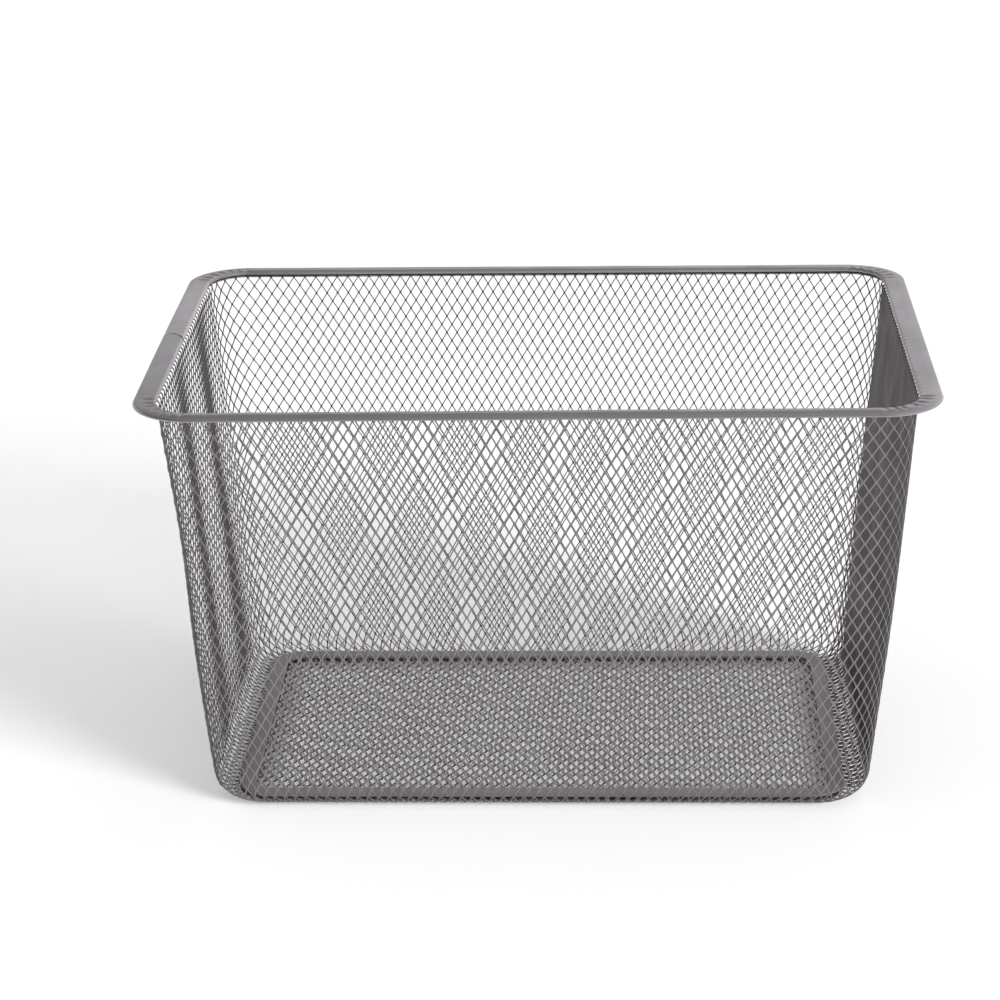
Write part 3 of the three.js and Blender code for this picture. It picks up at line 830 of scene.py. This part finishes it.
def rimBody():
    sections, sheen = [], []
    along, last = 0.0, None
    for quarter, isCorner, share in rimStations():
        innerPoint, _ = outlinePoint(rimInner, quarter, isCorner, share)
        outerPoint, _ = outlinePoint(rimOuter, quarter, isCorner, share)
        outward = (outerPoint - innerPoint).normalized()
        width = (outerPoint - innerPoint).length
        sideShare = clamp((width - rim["endWidth"]) / (rim["sideWidth"] - rim["endWidth"]))
        endCrown = rim["frontCrown"] if outward.y < 0 else rim["backCrown"]
        crown = rim["sideCrown"] + (endCrown - rim["sideCrown"]) * outward.y ** 2
        shoulder = rim["endShoulder"] + (rim["sideShoulder"] - rim["endShoulder"]) * sideShare
        along += (innerPoint - last).length if last else 0.0
        last = innerPoint
        outer, inner = rimSection(width, crown, shoulder)
        onRun = quarter == lap["run"] and not isCorner
        behindLap = onRun and innerPoint.y > 0
        section = []
        for number, (x, y) in enumerate(outer + inner[::-1]):
            slide, press = 0.0, 0.0
            if onRun and abs(innerPoint.y) < lap["slideReach"]:
                slide = lapPlace(x / width) * math.exp(-(innerPoint.y / lap["slideSize"]) ** 2)
            if behindLap:
                edge = (rim["lapEdge"] - innerPoint.y) / (rim["lapEdge"] - rim["lapFloor"])
                press = rim["lapStep"] * max(0.0, 1 - innerPoint.y / rim["lapEase"])
                press += rim["lapGroove"] * clamp(edge) * clamp(1 - y / rim["topFrom"])
            if number < len(outer) and y > rim["topFrom"]:
                y -= rimDip(quarter, isCorner, share, width, x, along)
            drawnIn = min(press, rim["lapLimit"])
            place = innerPoint + outward * (x - (drawnIn if x > width - rim["height"] / 2 else 0))
            lowered = y - press if y > rim["topFrom"] else y + drawnIn / 2
            section.append(Vector((place.x, place.y + slide, rimHigh.z - rim["clear"] + lowered)))
        sections.append(section)
        # Behind the lap the left run's colour is a shade lighter as painted sheen, fading out round the
        # corner.
        sheen.append(1.0 if behindLap else share ** 1.5 if quarter == lap["run"] - 1 and isCorner else 0.0)
    return sections, sheen


rimSections, rimSheen = rimBody()
rimBand = meshPiece("rimBand", *closedBand(rimSections))
# Painted sheen: per point, how much lighter the rim's colour is drawn behind the lap.
paintedSheen = rimBand.data.attributes.new("paintedSheen", "FLOAT", "POINT")
paintedSheen.data.foreach_set("value", [1 + rim["rearSheen"] * sheen for sheen in rimSheen
                                   for _ in rimSections[0]])
shadeSmooth(rimBand, rim["sharpFrom"])
dress(rimBand, rimPaint)
seat(rimBand, "rim", "rim_strip")
print("rim:", len(rimBand.data.polygons), "faces")


# Base strips: flat bands whose edges are eased, the upper one a shallow channel open downwards

strips = {"cornerRadius": 20, "width": 9, "sheet": 0.7, "edge": 0.3, "edgeSteps": 3, "besideEdge": 1.6,
          "runStep": 6, "cornerSteps": 24, "wave": 0.12, "waveSize": 30, "waveFrom": 0.2, "upperSeed": 1,
          "lowerSeed": 2, "sharpFrom": 50}


def stripBody(section, baseLevel, seed):
    outline = planOutline(upperHigh.x, upperHigh.y, strips["cornerRadius"])
    sections = []
    for quarter, isCorner in stretches:
        count = strips["cornerSteps"] if isCorner else round(runLength(outline, quarter) / strips["runStep"])
        for step in range(count):
            point, outward = outlinePoint(outline, quarter, isCorner, step / count)
            placed = []
            for x, y in section:
                place = point - outward * x
                size = strips["waveSize"]
                wave = strips["wave"] * noise.noise(Vector((place.x / size, place.y / size, seed)))
                lowered = min(wave, 0) if y > strips["waveFrom"] else 0
                placed.append(Vector((place.x, place.y, baseLevel + y + lowered)))
            sections.append(placed)
    return closedBand(sections, inwards=True)


def easedBand(height):
    # Counter-clockwise in the section, whose x runs inwards and y up.
    # A point beside each eased edge keeps the flat top shading flat.
    width, edge, beside = strips["width"], strips["edge"], strips["edge"] * strips["besideEdge"]
    points = []
    for cornerX, cornerY, start in ((width - edge, edge, -90), (width - edge, height - edge, 0),
                                    (edge, height - edge, 90), (edge, edge, 180)):
        if start == 90:
            points += [(width - beside, height), (beside, height)]
        for i in range(strips["edgeSteps"] + 1):
            angle = math.radians(start + 90 * i / strips["edgeSteps"])
            points.append((cornerX + edge * math.cos(angle), cornerY + edge * math.sin(angle)))
    return points


def channelBand(height):
    # The eased band without its two lower corners, and a hollow that is open downwards.
    width, sheet, corner = strips["width"], strips["sheet"], strips["edgeSteps"] + 1
    top = easedBand(height)[corner:-corner]
    return [(width, 0.0), *top, (0.0, 0.0), (sheet, 0.0), (sheet, height - sheet),
            (width - sheet, height - sheet), (width - sheet, 0.0)]


upperStrip = meshPiece("upperStrip", *stripBody(channelBand(upperHigh.z - upperLow.z), upperLow.z,
                                                strips["upperSeed"]))
lowerStrip = meshPiece("lowerStrip", *stripBody(easedBand(lowerHigh.z - lowerLow.z), lowerLow.z,
                                                strips["lowerSeed"]))
for piece, node in ((upperStrip, "base_joint_strip_upper"), (lowerStrip, "base_joint_strip_lower")):
    shadeSmooth(piece, strips["sharpFrom"])
    dress(piece, stripPaint)
    seat(piece, "strip", node)
    print("strip:", piece.name, len(piece.data.polygons), "faces")


# Studio: a white floor that greys toward the front as painted shade, a soft key from the front right, and a
# sky. The camera and the steel's reflections see a backdrop in the sky's place.

studio = {"keyAzimuth": 49, "keyElevation": 20, "keyStrength": 4.5, "keyAngle": 24,
          "sky": 0.54, "floorHalf": 14000, "floorWhite": 0.97, "floorGlow": 0.06, "underGlow": 0.3,
          "underMargin": 26, "sweepFront": -520, "sweepSkew": 0.6, "sweepEase": 420, "sweepLeft": 1.6,
          "frontGrey": 0.72}

# The backdrop is white behind the object and falls off overhead, to the left and toward the camera.
# The ends of each fall are parts of a direction: X to the right, Y to the back, Z up.
backdrop = {"dimLeft": 0.17, "dimRight": 0.6, "dimFrom": -0.45, "dimTo": 0.5, "white": 1.0,
            "leftShare": 0.5, "sidesFrom": -0.35, "sidesTo": 0.3, "low": 0.72, "high": 0.3,
            "front": -0.1, "back": 0.55}


def shownRays(tree):
    # 1 for the rays that show the studio: the camera's, and those that metal and glass send on.
    path = addNode(tree, "ShaderNodeLightPath").outputs
    return calc(tree, "MAXIMUM", path["Is Camera Ray"], path["Is Glossy Ray"], path["Is Transmission Ray"])


def buildFloor():
    half = studio["floorHalf"]
    floor = meshPiece("studioFloor", [(-half, -half, 0), (half, -half, 0), (half, half, 0), (-half, half, 0)],
                      [(0, 1, 2, 3)])
    material = bpy.data.materials.new("paleFloor")
    material.use_nodes = True
    tree = material.node_tree
    tree.nodes.clear()
    shown = shownRays(tree)
    place = splitVector(tree, addNode(tree, "ShaderNodeTexCoord").outputs["Object"])
    # Painted shade: the white fades to a pale grey well in front of the object, along a line that lies askew,
    # and straight across on the far left, so that the steel's front faces reflect a darker floor.
    fromFront = calc(tree, "ADD", place["Y"], calc(tree, "MULTIPLY", place["X"], studio["sweepSkew"]))
    fromFront = calc(tree, "MAXIMUM", fromFront, calc(tree, "MULTIPLY", place["Y"], studio["sweepLeft"]))
    whiteShare = mapRange(tree, fromFront, (studio["sweepFront"] - studio["sweepEase"]) * mm,
                       studio["sweepFront"] * mm, ease="SMOOTHSTEP")
    grey, white = ((studio[name],) * 3 + (1,) for name in ("frontGrey", "floorWhite"))
    matte = newOutput(tree, "ShaderNodeBsdfDiffuse", {"Color": mixColors(tree, whiteShare, grey, white)})
    # Under the basket's floor the paper glows as painted light, so that the mesh's openings stay light.
    under = calc(tree, "MULTIPLY", shown, studio["underGlow"])
    for axis, reach in (("X", upperHigh.x), ("Y", upperHigh.y)):
        inside = mapRange(tree, calc(tree, "ABSOLUTE", place[axis]), (reach - studio["underMargin"]) * mm,
                          (reach - studio["underMargin"] / 2) * mm, 1.0, 0.0)
        under = calc(tree, "MULTIPLY", under, inside)
    onPaper = calc(tree, "MULTIPLY", shown, studio["floorGlow"], whiteShare)
    glow = newOutput(tree, "ShaderNodeEmission", {"Strength": calc(tree, "ADD", onPaper, under)})
    both = newOutput(tree, "ShaderNodeAddShader", {0: matte, 1: glow})
    addNode(tree, "ShaderNodeOutputMaterial", {"Surface": both})
    dress(floor, material)


def buildSky():
    world = bpy.data.worlds.new("studioSky")
    bpy.context.scene.world = world
    world.use_nodes = True
    tree = world.node_tree
    tree.nodes.clear()
    toward = splitVector(tree, addNode(tree, "ShaderNodeTexCoord").outputs["Generated"])

    def fall(axis, start, end, low=0.0, high=1.0):
        return mapRange(tree, toward[axis], backdrop[start], backdrop[end], low, high, "SMOOTHSTEP")

    white = calc(tree, "MULTIPLY", fall("Y", "front", "back"), fall("Z", "high", "low", 1.0, 0.0),
                 fall("X", "sidesFrom", "sidesTo", backdrop["leftShare"]))
    dim = fall("X", "dimFrom", "dimTo", backdrop["dimLeft"], backdrop["dimRight"])
    seen = mapRange(tree, white, 0.0, 1.0, dim, backdrop["white"])
    strength = newOutput(tree, "ShaderNodeMix", {"Factor": shownRays(tree), "A": studio["sky"], "B": seen})
    light = newOutput(tree, "ShaderNodeBackground", {"Color": (1, 1, 1, 1), "Strength": strength})
    addNode(tree, "ShaderNodeOutputWorld", {"Surface": light})


def buildKey():
    light = bpy.data.lights.new("softKey", "SUN")
    light.energy = studio["keyStrength"]
    light.angle = math.radians(studio["keyAngle"])
    azimuth, elevation = math.radians(studio["keyAzimuth"]), math.radians(studio["keyElevation"])
    toLight = Vector((math.sin(azimuth) * math.cos(elevation), -math.cos(azimuth) * math.cos(elevation),
                      math.sin(elevation)))
    key = linked("softKey", light)
    key.rotation_euler = toLight.to_track_quat("Z", "Y").to_euler()
    key.visible_glossy = False


buildFloor()
buildSky()
buildKey()
print("studio: floor, sky and key")


# Camera at the photograph's angle

camera = {"lens": 109.28, "sensor": 36, "place": (45.615, -1646.984, 718.657),
          "yaw": -2.429, "pitch": 19.322, "roll": -0.96}


def buildCamera():
    yaw, pitch, roll = (math.radians(camera[name]) for name in ("yaw", "pitch", "roll"))
    forward = Vector((math.sin(yaw) * math.cos(pitch), math.cos(yaw) * math.cos(pitch), -math.sin(pitch)))
    level = Vector((math.cos(yaw), -math.sin(yaw), 0))
    above = level.cross(forward)
    right = level * math.cos(roll) + above * math.sin(roll)
    above = above * math.cos(roll) - level * math.sin(roll)
    data = bpy.data.cameras.new("photoCamera")
    data.lens = camera["lens"]
    data.sensor_width = camera["sensor"]
    data.clip_end = 100
    view = linked("photoCamera", data)
    turn = Matrix((right, above, -forward)).transposed().to_4x4()
    view.matrix_world = Matrix.Translation(Vector(camera["place"]) * mm) @ turn
    bpy.context.scene.camera = view


buildCamera()
bpy.context.scene.view_settings.view_transform = "Standard"
